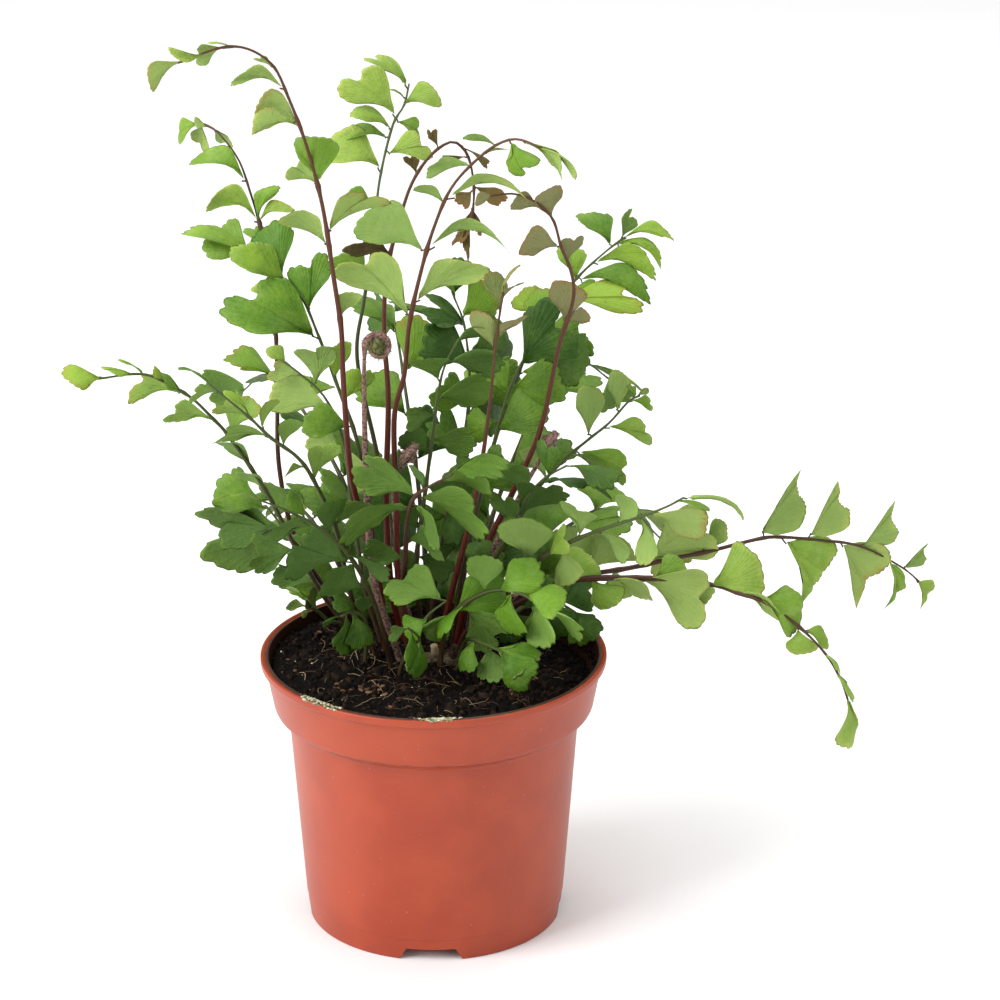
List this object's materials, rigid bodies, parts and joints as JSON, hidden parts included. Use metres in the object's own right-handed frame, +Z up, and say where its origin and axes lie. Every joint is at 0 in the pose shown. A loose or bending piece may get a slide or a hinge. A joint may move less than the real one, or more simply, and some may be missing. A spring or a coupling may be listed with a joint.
{
  "type": "potted fern",
  "caption": "Young fern in a round tapered nursery pot: thin wiry stems carry fan-shaped leaflets, some arching over the rim, above dark peat.",
  "frame": {"origin": "middle of the pot's foot, on the surface that the pot stands on", "axes": "+Z up out of the pot; -Y towards the viewer of the picture; +X to that viewer's right, where the two long fronds hang over the rim"},
  "size_m": [0.3019, 0.2011, 0.3236],
  "materials": {
    "terracotta_plastic": "satin, moulded",
    "peat": "rough, crumbly",
    "rhizome_bark": "rough, scaly",
    "fiddlehead_scales": "hairy",
    "leaf_young": "satin, thin",
    "leaf_middle": "satin, thin",
    "leaf_old": "satin, thin",
    "leaf_rosy": "satin, thin",
    "leaf_dried": "matte, thin"
  },
  "bodies": {
    "root": {"pot": "terracotta_plastic", "soil": "peat", "rhizome": "rhizome_bark", "fiddlehead_left": "fiddlehead_scales", "fiddlehead_right": "fiddlehead_scales", "fiddlehead_middle": "fiddlehead_scales", "tall_left_frond": "leaf_young", "tall_middle_frond": "leaf_young", "red_drooping_frond": "leaf_dried", "red_arching_frond": "leaf_rosy", "red_short_frond": "leaf_rosy", "thin_left_frond": "leaf_young", "left_fan_frond": "leaf_middle", "left_reaching_frond": "leaf_middle", "left_second_frond": "leaf_middle", "left_low_frond": "leaf_old", "left_front_frond": "leaf_old", "left_inner_frond": "leaf_young", "top_back_frond": "leaf_young", "right_upper_frond": "leaf_middle", "right_small_frond": "leaf_young", "right_long_frond": "leaf_young", "right_trailing_frond": "leaf_young", "right_front_frond": "leaf_young", "centre_front_frond": "leaf_old", "centre_dark_frond": "leaf_old", "centre_right_frond": "leaf_old", "centre_left_frond": "leaf_old", "right_inner_frond": "leaf_old", "front_bright_frond": "leaf_middle", "front_low_frond": "leaf_old", "right_low_frond": "leaf_old", "crown_low_frond": "leaf_middle", "crown_drooping_frond": "leaf_middle", "left_shoot_frond": "leaf_young", "left_mat_frond": "leaf_old", "back_middle_frond": "leaf_old", "back_left_frond": "leaf_old", "back_right_frond": "leaf_old", "back_low_left_frond": "leaf_middle", "back_low_right_frond": "leaf_middle"}
  },
  "joints": []
}
